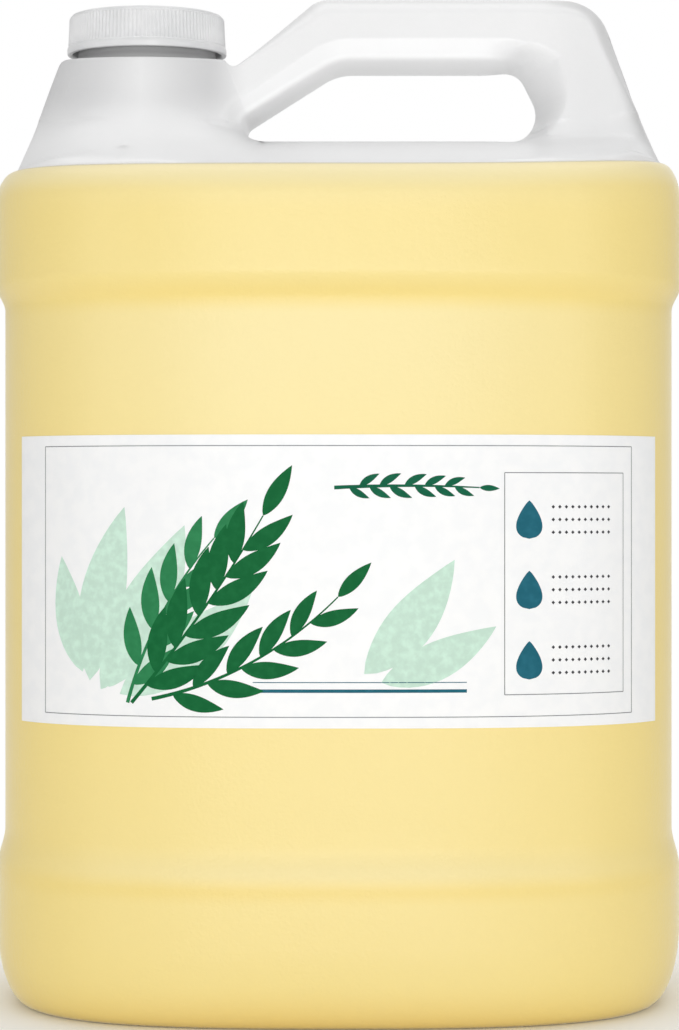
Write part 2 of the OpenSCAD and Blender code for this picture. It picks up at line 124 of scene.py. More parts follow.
def corner(a, b, c, r, n):
    # The arc of radius r that rounds the corner b of the line a, b, c
    a, b, c = np.array(a, float), np.array(b, float), np.array(c, float)
    u = (a - b) / np.linalg.norm(a - b)
    v = (c - b) / np.linalg.norm(c - b)
    half = math.acos(max(-1, min(1, u @ v))) / 2
    middle = b + (u + v) / np.linalg.norm(u + v) * (r / math.sin(half))
    first = b + u * (r / math.tan(half)) - middle
    turn = -1 if u[0] * v[1] - u[1] * v[0] > 0 else 1
    arc = []
    for g in turn * (math.pi - 2 * half) * np.linspace(0, 1, n + 1):
        arc.append(middle + (first[0] * math.cos(g) - first[1] * math.sin(g),
                             first[0] * math.sin(g) + first[1] * math.cos(g)))
    return arc


def spread(path, n):
    # A path cut into n even steps
    path = np.array(path)
    run = np.concatenate([[0], np.cumsum(np.linalg.norm(np.diff(path, axis=0), axis=1))])
    at = np.linspace(0, run[-1], n + 1)
    return np.stack([np.interp(at, run, path[:, k]) for k in range(2)], axis=1)


def distance(points, path):
    # How far each point lies from a path
    best = np.full(len(points), 1e9)
    for a, b in zip(path[:-1], path[1:]):
        run = b - a
        t = np.clip(((points - a) @ run) / max(run @ run, 1e-12), 0, 1)
        best = np.minimum(best, np.linalg.norm(points - a - t[:, None] * run, axis=1))
    return best


def crease_z(x):
    # Height of the shoulder line, which climbs towards its two ends
    rise = np.where(np.asarray(x) < 0, crease_rise_near, crease_rise_far)
    return shoulder_z + rise * np.minimum(1, np.abs(x) / crease_w) ** 3


dip_x = neck_x + ledge_r + 2.1
neck_end = np.array([-crease_w, float(crease_z(-crease_w))])
handle_end = np.array([crease_w, float(crease_z(crease_w))])
ledge_near = (neck_x - ledge_r - 1.2, ledge_z)
ledge_far = (neck_x + ledge_r + 0.5, ledge_z)
dip = (dip_x, handle_z - (top_left - dip_x) * math.tan(math.radians(handle_slope)))
top_near = (top_left, handle_z)
top_far = (top_right, handle_z)
near_arc = corner(neck_end, ledge_near, ledge_far, 2.5, 10)
far_arc = corner(ledge_near, ledge_far, dip, 0.8, 6)
dip_arc = corner(ledge_far, dip, top_near, 1.5, 6)
start_arc = corner(dip, top_near, top_far, 8, 14)
end_arc = corner(top_near, top_far, handle_end, 12, 14)
gap_a = (gap_near, gap_low)
gap_b = (gap_near + (gap_high - gap_low) / math.tan(math.radians(gap_slope)), gap_high)
gap_c = (gap_far_high, gap_high)
gap_d = (gap_far_low, gap_low)
arc_a = corner(gap_d, gap_a, gap_b, 2.56, 18)
arc_b = corner(gap_a, gap_b, gap_c, 13, 12)
arc_c = corner(gap_b, gap_c, gap_d, 6, 12)
arc_d = corner(gap_c, gap_d, gap_a, 7.1, 14)
outline = np.array([neck_end] + near_arc + far_arc + dip_arc + start_arc + end_arc + [handle_end])
gap = np.array(arc_a + arc_b + arc_c + arc_d + arc_a[:1])


def half_t(x, z):
    # Half thickness of the upper part: deck, handle and flared neck cone blended within the plan's limit
    t = np.clip((z - shoulder_z) / (ledge_z - shoulder_z), 0, 1)
    near = cone_low_x + cone_lean * (z - cone_low_z) / cone_rise
    far = mix(neck_x + 34, neck_x + ledge_r, t)
    power = mix(2.6, 2.05, ease(2 * t))
    off = np.minimum(1, np.abs(2 * x - near - far) / (far - near))
    cone = (20 + 15 * (1 - t) + 27 * (1 - t) ** 4) * (1 - off ** power) ** (1 / power)
    bar = mix(bar_thick, leg_thick, np.clip((handle_z - z) / (handle_z - gap_low), 0, 1)) / 2
    rise = mix(ease((z - 207) / 26), ease((z - gap_low) / 3), ease((x + 42) / 14))
    bar = bar * np.maximum(ease((x - gap_far_low + 12) / 12), rise)
    deck = mix(crease_d, 9, np.clip((z - crease_z(x)) / (gap_low - crease_z(x)), 0, 1))
    deck = deck * (1 - ease((z - gap_low) / 5))
    foot = crease_z(x)
    left = mix(crease_w, 0.6 - ledge_near[0], np.clip((z - foot) / (ledge_z - foot), 0, 1))
    right = mix(crease_w, top_right, np.clip((z - foot) / (handle_z - foot), 0, 1))
    edge = np.where(x < 0, left, right)
    bend = mix(plan_power, 2.4, ease((z - foot) / 12))
    limit = crease_d * np.maximum(0, 1 - (np.abs(x) / edge) ** bend) ** (1 / bend)
    soft = 5 + 10 * ease((z - foot) / 9)
    form = softmax(softmax(deck, bar, soft), cone, soft)
    round_off = 4 + 3 * ease((z - foot) / 6) + 8 * ease((np.abs(x) - 42) / 26)
    return softmin(limit, form, np.minimum(round_off, 0.8 * np.minimum(limit, form) + 0.01))


def leg(inner, outer, n, bevels, edges):
    # Columns from a stretch of the gap out to a stretch of the outline, with the roundings at their two ends
    g, o = spread(inner, n), spread(outer, n)
    made = []
    for i in range(n):
        t = i / n
        edge = mix(edges[0], edges[1], ease(t) if edges[1] < 1 else t)
        made.append((g[i], o[i], mix(bevels[0], bevels[1], t), edge))
    return made


def plan(angles):
    # The rounded box of the body in plan, for half sizes of 1
    return np.stack([np.sign(np.cos(angles)) * np.abs(np.cos(angles)) ** (2 / plan_power),
                     np.abs(np.sin(angles)) ** (2 / plan_power)], axis=1)


# Angles round the front that put the columns at even steps
many = np.linspace(0, math.pi, 4001)
base = plan(many) * (bumper_w, bumper_d)
run = np.concatenate([[0], np.cumsum(np.linalg.norm(np.diff(base, axis=0), axis=1))])
front_n = 170
angles = np.interp(np.linspace(0, run[-1], front_n + 1), run, many)
plan_x, plan_y = plan(angles).T
plan_y[0] = plan_y[-1] = 0

edge_x = crease_w * plan_x
floor_line = spread([arc_d[-1], arc_a[0]], front_n)
columns = []
for inner, x in zip(floor_line, edge_x):
    columns.append((inner, np.array([x, float(crease_z(x))]), 2.5, 0))
columns += leg(arc_a[:7], [neck_end] + near_arc, 34, (2.5, 4), (0.5, 0.9))[1:]
columns += leg(arc_a[6:16], [near_arc[-1], far_arc[0]], 60, (4, 5), (0.9, 0.9))
columns += leg(arc_a[15:] + arc_b[:1], far_arc + dip_arc + start_arc[:1], 60, (5, 6.5), (0.9, 5))
columns += leg(arc_b, start_arc, 20, (6.5, 6.5), (5, 5))
columns += leg([arc_b[-1], arc_c[0]], [start_arc[-1], end_arc[0]], 40, (6.5, 6.5), (5, 5))
columns += leg(arc_c, end_arc, 26, (6.5, 10), (5, 5))
columns += leg([arc_c[-1]] + arc_d, [end_arc[-1], handle_end], 60, (10, 2.5), (5, 0.5))

bevel_steps = np.concatenate([np.linspace(0, 0.4, 10) ** 2 / 0.4, np.linspace(0.46, 0.97, 8)])
middles = np.linspace(0, 1, 21)
edge_steps = (1 - np.linspace(0, 1, 15)[1:]) ** 2
sheet = []
for i, (inner, outer, bevel, edge) in enumerate(columns):
    whole = np.linalg.norm(outer - inner)
    on_deck = edge == 0
    fine = np.linspace(0, whole, 241)
    path = inner + (outer - inner) * (fine / whole)[:, None]
    from_gap = np.maximum.accumulate(distance(path, gap))
    fit = min(1, 0.9 * whole / (bevel + edge))
    bevel = bevel * fit
    edge = max(edge * fit, 0.4)
    bevel_d = np.interp(bevel * bevel_steps, from_gap, fine)
    first = np.interp(bevel, from_gap, fine)
    if on_deck:
        # Even rows over the deck, closing up towards the rows of the silhouette at its two ends
        even = mix(first, whole, np.linspace(0, 1, 35))
        closed = np.concatenate([mix(first, whole - edge, middles), whole - edge * edge_steps])
        nearness = ease(1 - min(i, front_n - i) / 45)
        d = np.concatenate([bevel_d, mix(even, closed, nearness)])
    else:
        from_edge = np.maximum.accumulate(distance(path, outline)[::-1])
        edge_d = whole - np.interp(edge * edge_steps, from_edge, fine)
        last = whole - np.interp(edge, from_edge, fine)
        d = np.concatenate([bevel_d, mix(first, max(last, first + 0.1), middles),
                            np.maximum(edge_d, first + 0.1)])
    p = inner + (outer - inner) * (d / whole)[:, None]
    t = distance(p, gap) / bevel
    # The gap's rim is a narrow bevel along the bar, and a wide scoop at the far leg
    scoop = ease((p[:, 0] - 36) / 12) * (0.35 + 0.65 * ease((p[:, 1] - gap_low + 2) / 8))
    cut = mix(quarter(t / 0.3, 2) * mix(0.86, 1, np.clip(t, 0, 1)), quarter(t, 1.5), scoop)
    y = half_t(p[:, 0], p[:, 1]) * np.where(t < 1, cut, 1)
    if not on_deck:
        y = y * quarter(distance(p, outline) / edge, mix(2, 1.4, ease((p[:, 0] - 50) / 12)))
    y[0] = 0
    y[-1] = crease_d * plan_y[i] if on_deck else 0
    sheet.append(np.stack([p[:, 0], -y, p[:, 1]], axis=1))
upper = np.array(sheet)

# The body's rows, from just under the shoulder edge down to the foot and in under the base
rows = []
for g in np.radians(np.linspace(90, 0, 13))[1:]:
    turned_in = 1 - math.cos(g)
    rows.append((shoulder_z - shoulder_r * (1 - math.sin(g)), bumper_w - (bumper_w - crease_w) * turned_in,
                 bumper_d - (bumper_d - crease_d) * turned_in, math.sin(g)))
for z in np.linspace(shoulder_z - shoulder_r, bumper_low, 8)[1:]:
    rows.append((z, bumper_w, bumper_d, 0))
for t in np.linspace(0, 1, 11)[1:]:
    rows.append((bumper_low - (bumper_low - panel_high) * t, mix(bumper_w, panel_w, ease(t)),
                 mix(bumper_d, panel_d, ease(t)), 0))
for z in np.linspace(panel_high, panel_low, 24)[1:]:
    rows.append((z, panel_w, panel_d, 0))
for t in np.linspace(0, 1, 11)[1:]:
    rows.append((panel_low - lower_step * t, mix(panel_w, foot_w, ease(t)),
                 mix(panel_d, foot_d, ease(t)), 0))
for g in np.radians(np.linspace(0, 90, 15)):
    turned_in = 1 - math.cos(g)
    rows.append((foot_r * (1 - math.sin(g)), foot_w - 7.4 * turned_in, foot_d - 9 * turned_in, 0))
rows += [(0, 74, 55.4, 0), (1.2, 72, 53.4, 0), (3.2, 67, 48.4, 0), (push_up, 40, 30, 0),
         (push_up, 0.01, 0.01, 0)]
lower = []
for z, w, d, rise in rows:
    x = w * plan_x
    lower.append(np.stack([x, -d * plan_y, z + rise * (crease_z(x) - shoulder_z)], axis=1))
lower = np.array(lower)

points = []
quads = []


def grid(block, closed, flip):
    # Adds a block of points as a mesh of quads, and the same block mirrored to the back
    start = len(points)
    m, n = block.shape[:2]
    points.extend(block.reshape(-1, 3).tolist())
    for a in range(m if closed else m - 1):
        for b in range(n - 1):
            c = (a + 1) % m
            face = [start + a * n + b, start + a * n + b + 1, start + c * n + b + 1, start + c * n + b]
            quads.append(face[::-1] if flip else face)


for side in (1, -1):
    half = upper * (1, side, 1)
    grid(half, True, side < 0)
    body = np.concatenate([half[:front_n + 1, -1][None], lower * (1, side, 1)])
    grid(body, False, side < 0)

jug = bpy.data.objects.new("jug_shell", bpy.data.meshes.new("jug_shell"))
bpy.context.scene.collection.objects.link(jug)
jug.data.from_pydata([[c / 1000 for c in p] for p in points], [], quads)
shape = bmesh.new()
shape.from_mesh(jug.data)
bmesh.ops.remove_doubles(shape, verts=shape.verts, dist=6e-5)
# The shoulder is open under the neck
hidden = [f for f in shape.faces if f.calc_center_median().z > 0.2345
          and math.hypot(f.calc_center_median().x - neck_x / 1000, f.calc_center_median().y) < 0.0163]
bmesh.ops.delete(shape, geom=hidden, context="FACES")
bmesh.ops.dissolve_degenerate(shape, edges=shape.edges, dist=2e-5)
bmesh.ops.recalc_face_normals(shape, faces=shape.faces)
# The surface just above the shoulder line is eased at its two ends, where the columns crowd together
eased = []
for vertex in shape.verts:
    up = vertex.co.z * 1000 - float(crease_z(vertex.co.x * 1000))
    if 0.35 < up < 14 and abs(vertex.co.x) > 0.052 and abs(vertex.co.y) > 0.002:
        eased.append(vertex)
for turn in range(28):
    bmesh.ops.smooth_vert(shape, verts=eased, factor=0.5, use_axis_x=True, use_axis_y=True, use_axis_z=True)
for face in shape.faces:
    face.smooth = True
shape.to_mesh(jug.data)
shape.free()


def wire(tree, kind, settings=(), **inputs):
    # One node with its settings, and its inputs as values or links
    node = tree.nodes.new(kind)
    for key, value in dict(settings).items():
        setattr(node, key, value)
    for key, value in inputs.items():
        socket = node.inputs[int(key[1:])] if key[0] == "_" else node.inputs[key.replace("_", " ")]
        if isinstance(value, bpy.types.NodeSocket):
            tree.links.new(value, socket)
        else:
            socket.default_value = value
    return node


def ramp(tree, factor, stops):
    # A colour that eases from stop to stop
    node = wire(tree, "ShaderNodeValToRGB", _0=factor)
    node.color_ramp.interpolation = "EASE"
    marks = node.color_ramp.elements
    for k, (at, colour) in enumerate(stops):
        mark = marks[k] if k < 2 else marks.new(at)
        mark.position = at
        mark.color = (*colour, 1)
    return node.outputs["Color"]


def span(tree, value, low, high):
    # Rises smoothly from 0 to 1 between two values
    node = wire(tree, "ShaderNodeMapRange", {"interpolation_type": "SMOOTHSTEP"}, _0=value, _1=low, _2=high)
    return node.outputs[0]


def sums(tree, operation, *values, clamp=False):
    # One step of arithmetic on sockets or plain values
    places = {"_" + str(k): value for k, value in enumerate(values)}
    return wire(tree, "ShaderNodeMath", {"operation": operation, "use_clamp": clamp}, **places).outputs[0]


def times(tree, a, b):
    return sums(tree, "MULTIPLY", a, b)


def fade(tree, value, low, high):
    # Falls smoothly from 1 to 0 between two values
    return sums(tree, "SUBTRACT", 1.0, span(tree, value, low, high))


def tint(tree, factor, a, b):
    # A mix of two colours, each a socket or a plain value
    return wire(tree, "ShaderNodeMix", {"data_type": "RGBA"}, Factor=factor, _6=a, _7=b)


def group_of(name, inputs, outputs):
    # An empty group with its named sockets, and the ends to wire up
    tree = bpy.data.node_groups.new(name, "ShaderNodeTree")
    for way, sockets in (("INPUT", inputs), ("OUTPUT", outputs)):
        for label, kind in sockets:
            tree.interface.new_socket(label, in_out=way, socket_type="NodeSocket" + kind)
    return tree, tree.nodes.new("NodeGroupInput").outputs, tree.nodes.new("NodeGroupOutput").inputs


# Skin of the mould, shared by the jug and its cap: fine peel with faint upright die lines
moulded, given, result = group_of("mould_skin", (("Vector", "Vector"), ("Scale", "Float"),
                                                 ("Streaks", "Float")), (("Height", "Float"),))
peel = wire(moulded, "ShaderNodeTexNoise", Vector=given["Vector"], Scale=given["Scale"], Detail=3.0,
            Roughness=0.6)
tall = wire(moulded, "ShaderNodeMapping", Vector=given["Vector"], Scale=(1.0, 1.0, 0.03))
lines = wire(moulded, "ShaderNodeTexNoise", Vector=tall.outputs[0], Scale=420.0, Detail=2.0)
both = sums(moulded, "MULTIPLY_ADD", lines.outputs[0], given["Streaks"], peel.outputs[0])
moulded.links.new(both, result["Height"])


def relieved(tree, skin, place, scale, streaks, strength, deep):
    # Lays the mould's skin on a material
    peel = wire(tree, "ShaderNodeGroup", {"node_tree": moulded}, Vector=place, Scale=scale, Streaks=streaks)
    relief = wire(tree, "ShaderNodeBump", Height=peel.outputs[0], Strength=strength, Distance=deep)
    tree.links.new(relief.outputs[0], skin.inputs["Normal"])


# The filled body: the yellow of the oil through the wall, deeper towards the ends, with bands of painted
# shade and painted highlight at each step and along the shoulder
filled = bpy.data.materials.new("hdpe_over_oil")
filled.use_nodes = True
tree = filled.node_tree
skin = tree.nodes["Principled BSDF"]
skin.inputs["Roughness"].default_value = 0.36
skin.inputs["Sheen Weight"].default_value = 0.55
skin.inputs["Sheen Roughness"].default_value = 0.25
skin.inputs["Sheen Tint"].default_value = (1, 0.98, 0.9, 1)
place = wire(tree, "ShaderNodeTexCoord").outputs["Object"]
split = wire(tree, "ShaderNodeSeparateXYZ", _0=place)
height = times(tree, split.outputs["Z"], 1 / 0.21)
# pale is the painted highlight yellow and deep the painted shade yellow; usual is the oil's own yellow
# through the wall
pale = (0.925, 0.775, 0.36)
deep = (0.9, 0.7, 0.225)
usual = (0.92, 0.745, 0.29)
# Bands by height: painted shade in deeper yellow on the faces under each step and towards the base, painted
# highlight in paler yellow on the step faces turned up to the light and on the shoulder's rounded edge
yellows_with_painted_light = ramp(tree, height, [(0, (0.88, 0.66, 0.21)), (1, (0.94, 0.82, 0.47)), (0.06, usual), (0.14, usual),
                            (0.158, deep), (0.178, pale), (0.21, usual), (0.5, usual), (0.8, pale),
                            (0.822, deep), (0.85, usual), (0.91, usual), (0.96, pale)])
side = sums(tree, "ABSOLUTE", split.outputs["X"])
ends = span(tree, side, 0.02, 0.086)
cloud = wire(tree, "ShaderNodeTexNoise", Vector=place, Scale=16.0, Detail=3.0)
patchy = times(tree, cloud.outputs[0], 0.12)
lean = tint(tree, times(tree, ends, 0.75), yellows_with_painted_light, (0.91, 0.715, 0.235, 1))
milky = tint(tree, patchy, lean.outputs[2], (0.95, 0.85, 0.55, 1))
# The first millimetres under the shoulder line: a painted thin shadow line, then a painted highlight band on
# the rounded top edge
under = wire(tree, "ShaderNodeAttribute", {"attribute_name": "below_crease"}).outputs["Fac"]
band = times(tree, span(tree, under, 0.3, 0.9), fade(tree, under, 2.5, 7.5))
glow = tint(tree, times(tree, band, 0.6), milky.outputs[2], (0.95, 0.84, 0.5, 1))
line = tint(tree, fade(tree, under, 0.15, 0.7), glow.outputs[2], (0.6, 0.54, 0.38, 1))
tree.links.new(line.outputs[2], skin.inputs["Base Color"])
relieved(tree, skin, place, 1100.0, 0.5, 0.34, 0.0003)

# The empty shoulder, cone and handle: milky white, with painted shade on the cone's flanks beside the neck,
# where they turn away from the light
hdpe = bpy.data.materials.new("natural_hdpe")
hdpe.use_nodes = True
tree = hdpe.node_tree
skin = tree.nodes["Principled BSDF"]
skin.inputs["Roughness"].default_value = 0.34
skin.inputs["Sheen Weight"].default_value = 0.1
skin.inputs["Sheen Roughness"].default_value = 0.3
place = wire(tree, "ShaderNodeTexCoord").outputs["Object"]
split = wire(tree, "ShaderNodeSeparateXYZ", _0=place)
across = sums(tree, "ABSOLUTE", sums(tree, "ADD", split.outputs["X"], -neck_x / 1000))
painted_flank_shade = times(tree, span(tree, across, -0.008, 0.018), span(tree, split.outputs["Z"], 0.212, 0.227))
painted_flank_shade = times(tree, painted_flank_shade, fade(tree, split.outputs["X"], -0.033, -0.022))
cloud = wire(tree, "ShaderNodeTexNoise", Vector=place, Scale=30.0, Detail=3.0)
# Painted shade on the far leg's end, which turns away from the light, added to a random mottle
painted_far_leg_shade = times(tree, span(tree, split.outputs["X"], 0.045, 0.065), 0.1)
mottle_and_painted_shade = sums(tree, "ADD", times(tree, cloud.outputs[0], 0.1), painted_far_leg_shade)
shade = sums(tree, "MULTIPLY_ADD", painted_flank_shade, 0.42, mottle_and_painted_shade, clamp=True)
tone = tint(tree, shade, (0.93, 0.93, 0.93, 1), (0.36, 0.36, 0.37, 1))
# Painted light on the pinched wall round the finger gap, as if light came through it, painted shade on the
# far leg's rounded edge, and a thin darker line along the seam
near = wire(tree, "ShaderNodeAttribute", {"attribute_name": "from_gap"}).outputs["Fac"]
thin = sums(tree, "MAXIMUM", fade(tree, near, 1.2, 3.6), times(tree, fade(tree, near, 5.8, 7.2), 0.2))
above = times(tree, span(tree, split.outputs["Z"], 0.216, 0.222),
              span(tree, split.outputs["X"], -0.04, -0.02))
toward = fade(tree, split.outputs["X"], 0.036, 0.046)
painted_gap_light = tint(tree, times(tree, times(tree, thin, above), toward), tone.outputs[2], (1, 1, 1, 1))
seam = wire(tree, "ShaderNodeAttribute", {"attribute_name": "from_seam"}).outputs["Fac"]
wide = times(tree, fade(tree, seam, 1.0, 5.5), span(tree, split.outputs["X"], 0.05, 0.062))
seam_line_and_painted_edge_shade = sums(tree, "MAXIMUM", times(tree, fade(tree, seam, 0.1, 0.9), 0.45), times(tree, wide, 0.5))
edged = tint(tree, seam_line_and_painted_edge_shade, painted_gap_light.outputs[2], (0.42, 0.42, 0.42, 1))
tree.links.new(edged.outputs[2], skin.inputs["Base Color"])
relieved(tree, skin, place, 1100.0, 0.9, 0.2, 0.0003)

spots = np.array([vertex.co for vertex in jug.data.vertices]) * 1000
flat = spots[:, [0, 2]]
for name, values in (("below_crease", crease_z(spots[:, 0]) - spots[:, 2]),
                     ("from_seam", distance(flat, outline)), ("from_gap", distance(flat, gap))):
    field = jug.data.attributes.new(name, "FLOAT", "POINT")
    field.data.foreach_set("value", values.astype(float))
jug.data.materials.append(hdpe)
jug.data.materials.append(filled)
for face in jug.data.polygons:
    x, y, z = face.center
    face.material_index = int(z < float(crease_z(x * 1000)) / 1000 + 0.00001)
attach(jug, "jug")
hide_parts("jug")


# ---- neck finish ----
# The trimmed neck above the ledge: a thick straight wall with one raised screw thread and a flat land
# that the liner seals on, moulded in one with the jug.
def turned(profile, n, x):
    # Points of a profile of (radius, height) turned round the upright line at x
    rings = []
    for k in range(n):
        g = 2 * math.pi * k / n
        rings.append([[x + r * math.cos(g), r * math.sin(g), z] for r, z in profile])
    return np.array(rings)


def piece(name, blocks, closed_ring=True, smooth_angle=35):
    # One object from blocks of points, each a closed ring of columns
    vertices, faces = [], []
    for block in blocks:
        start = len(vertices)
        m, n = block.shape[:2]
        vertices.extend((block.reshape(-1, 3) / 1000).tolist())
        for a in range(m if closed_ring else m - 1):
            c = (a + 1) % m
            faces += [[start + a * n + b, start + c * n + b, start + c * n + b + 1, start + a * n + b + 1]
                      for b in range(n - 1)]
    thing = bpy.data.objects.new(name, bpy.data.meshes.new(name))
    bpy.context.scene.collection.objects.link(thing)
    thing.data.from_pydata(vertices, [], faces)
    work = bmesh.new()
    work.from_mesh(thing.data)
    bmesh.ops.remove_doubles(work, verts=work.verts, dist=1e-6)
    bmesh.ops.recalc_face_normals(work, faces=work.faces)
    for edge in work.edges:
        if len(edge.link_faces) == 2 and edge.calc_face_angle() > math.radians(smooth_angle):
            edge.smooth = False
    for face in work.faces:
        face.smooth = True
    work.to_mesh(thing.data)
    work.free()
    return thing


def coiled(start, low, root, crests, section):
    # A screw thread as slices along its helix, each of (share of the height, rise), running out at both ends
    slices = []
    for k in range(thread_steps + 1):
        g = math.radians(start + thread_turn * k / thread_steps)
        z = low + pitch * thread_turn * k / thread_steps / 360
        crest = mix(crests[0], crests[1], ease(min(k, thread_steps - k) / 22))
        radii = [(mix(root, crest, share), up) for share, up in section]
        slices.append([[neck_x + r * math.cos(g), r * math.sin(g), z + up] for r, up in radii])
    return np.array(slices)


land_z = 245.4
bore_r = 15.5
wall_r = 17.45
neck_profile = [(18.9, 234.5), (18.7, 235.2), (18.3, 235.8), (17.8, 236.3), (17.5, 236.8), (wall_r, 237.3),
                (wall_r, land_z - 0.5), (17.3, land_z - 0.15), (16.9, land_z), (15.9, land_z),
                (15.55, land_z - 0.2), (bore_r, land_z - 0.6), (bore_r, 232), (16.5, 229), (18.5, 224)]
neck = turned(neck_profile, 128, neck_x)
pitch = 4.233
thread_turn = 400
thread_steps = 200
thread_z = land_z - 1.3 - 1 - pitch * thread_turn / 360
coil = coiled(0, thread_z, 17.1, (17.15, 18.55),
              [(0, -1), (0.8, -0.5), (1, -0.3), (1, 0.3), (0.8, 0.5), (0, 1)])
finish = piece("jug_neck_finish", [neck])
thread = piece("jug_neck_thread", [coil], closed_ring=False)
# Painted shade: the neck is a darker grey, standing in for the shade under the cap
neck_painted_shade = hdpe.copy()
neck_painted_shade.name = "natural_hdpe_neck_painted_shade"
neck_painted_shade.node_tree.nodes[tone.name].inputs[6].default_value = (0.5, 0.5, 0.5, 1)
neck_painted_shade.node_tree.nodes[tone.name].inputs[7].default_value = (0.3, 0.3, 0.31, 1)
for part in (finish, thread):
    part.data.materials.append(neck_painted_shade)
    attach(part, "jug")
    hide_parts("jug")


# ---- cap ----
# A screw closure injection-moulded in natural polypropylene: finely ribbed skirt, smooth bead at the rim,
# rounded top edge and one internal thread.
cap_low = 237.4
cap_top = 247.6
skirt_r = 19.6
skirt_lean = 0.45
ribs = 120
rib_depth = 0.3
skirt = []
for k in range(ribs * 6):
    g = 2 * math.pi * k / (ribs * 6)
    groove = rib_depth * (0.5 - 0.5 * math.cos(2 * math.pi * k / 6)) ** 1.4
    profile = [(0, cap_top), (10, cap_top), (17.6, cap_top), (18.4, cap_top - 0.06), (18.95, cap_top - 0.25),
               (19.2, cap_top - 0.55), (19.17, cap_top - 0.72), (19.45, cap_top - 0.82),
               (19.58, cap_top - 1.05)]
    for z in np.linspace(cap_top - 1.15, cap_low + 2.5, 6):
        t = (cap_top - z) / (cap_top - cap_low)
        profile.append((skirt_r + skirt_lean * t - groove, z))
    profile += [(19.93, cap_low + 2.25), (19.86, cap_low + 2.0), (20.12, cap_low + 1.75),
                (20.2, cap_low + 1.3), (20.2, cap_low + 0.3), (20.1, cap_low + 0.08),
                (19.9, cap_low), (19.1, cap_low), (18.85, cap_low + 0.2), (18.8, cap_low + 0.6),
                (18.8, land_z + 1), (0, land_z + 1)]
    skirt.append([[neck_x + r * math.cos(g), r * math.sin(g), z] for r, z in profile])
cap_thread_low = cap_low + 1.4
turn = (cap_thread_low - thread_z + 2 * 0.7 + 0.35) / pitch * 360
inside = coiled(turn, cap_thread_low, 19, (19.0, 17.85), [(0, -1), (1, -0.4), (1, 0.4), (0, 1)])
cap = piece("cap_shell", [np.array(skirt)], smooth_angle=50)
cap_thread = piece("cap_thread", [inside], closed_ring=False)
pp = bpy.data.materials.new("cap_plastic")
pp.use_nodes = True
tree = pp.node_tree
skin = tree.nodes["Principled BSDF"]
skin.inputs["Roughness"].default_value = 0.3
place = wire(tree, "ShaderNodeTexCoord").outputs["Object"]
cloud = wire(tree, "ShaderNodeTexNoise", Vector=place, Scale=90.0, Detail=4.0)
tree.links.new(ramp(tree, cloud.outputs[0], [(0.3, (0.74, 0.745, 0.75)), (0.7, (0.84, 0.84, 0.845))]),
               skin.inputs["Base Color"])
relieved(tree, skin, place, 1600.0, 0.2, 0.12, 0.0001)
for part in (cap, cap_thread):
    part.data.materials.append(pp)
    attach(part, "cap")
    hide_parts("cap")


# ---- label ----
# One sheet of white coated paper, wrapped round the front of the panel between the two bumpers and glued
# flat, so its ends turn back along the rounded corners.
label_reach = 76.3
label_low = 71.3
label_high = 139.9
glue = 0.05
label_face = 0.25
fine = (plan(np.linspace(0, math.pi, 8001)) * (panel_w, -panel_d))[::-1]
fine = fine[np.abs(fine[:, 0]) < label_reach]
arc = np.concatenate([[0], np.cumsum(np.linalg.norm(np.diff(fine, axis=0), axis=1))])
arc = arc - arc[-1] / 2


def on_label(u, v, out):
    # Point at u along the label from its middle and height v, a distance out from the panel
    x, y = np.interp(u, arc, fine[:, 0]), np.interp(u, arc, fine[:, 1])
    dx = np.interp(u + 0.2, arc, fine[:, 0]) - np.interp(u - 0.2, arc, fine[:, 0])
    dy = np.interp(u + 0.2, arc, fine[:, 1]) - np.interp(u - 0.2, arc, fine[:, 1])
    size = math.hypot(dx, dy)
    return [x + dy / size * out, y - dx / size * out, v]


across = np.linspace(arc[0] + 0.01, arc[-1] - 0.01, 121)
strip = []
for u in across:
    section = [(label_low, glue), (label_low, label_face), (label_high, label_face), (label_high, glue),
               (label_low, glue)]
    strip.append([on_label(u, v, out) for v, out in section])
label = piece("label_sheet", [np.array(strip)], closed_ring=False)
paper = bpy.data.materials.new("label_paper")
paper.use_nodes = True
tree = paper.node_tree
skin = tree.nodes["Principled BSDF"]
skin.inputs["Roughness"].default_value = 0.42
skin.inputs["Coat Weight"].default_value = 0.15
skin.inputs["Coat Roughness"].default_value = 0.3
place = wire(tree, "ShaderNodeTexCoord").outputs["Object"]
fibre = wire(tree, "ShaderNodeTexNoise", Vector=place, Scale=260.0, Detail=4.0)
tree.links.new(ramp(tree, fibre.outputs[0], [(0.35, (0.905, 0.91, 0.912)), (0.65, (0.935, 0.935, 0.93))]),
               skin.inputs["Base Color"])
relief = wire(tree, "ShaderNodeBump", Height=fibre.outputs[0], Strength=0.05, Distance=0.0001)
tree.links.new(relief.outputs[0], skin.inputs["Normal"])
label.data.materials.append(paper)
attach(label, "jug")
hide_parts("label")


# ---- label print ----
# Flat ink on the label: a plain border of hairlines, leafy sprigs in two greens, pale leaves behind them,
# a thin band, rows of dots and three oil drops in teal. A plain pattern with no words.
ink_across = (-1, -0.5, 0, 0.5, 1)
grain, given, result = group_of("ink_grain", (("Vector", "Vector"),), (("Factor", "Float"),))
speck = wire(grain, "ShaderNodeTexNoise", Vector=given["Vector"], Scale=500.0, Detail=2.0)
grain.links.new(speck.outputs[0], result["Factor"])


def leaf(u, v, angle, length, width, bend=0.0):
    # One pointed leaf as rows of points across it, from its stem to its tip
    rows = []
    for k in range(17):
        t = k / 16
        g = angle + bend * t
        u1 = u + length * t * math.cos(angle + bend * t / 2)
        v1 = v + length * t * math.sin(angle + bend * t / 2)
        half = width / 2 * math.sin(math.pi * t ** 0.85) ** 0.9
        rows.append([(u1 - w * half * math.sin(g), v1 + w * half * math.cos(g)) for w in ink_across])
    return rows


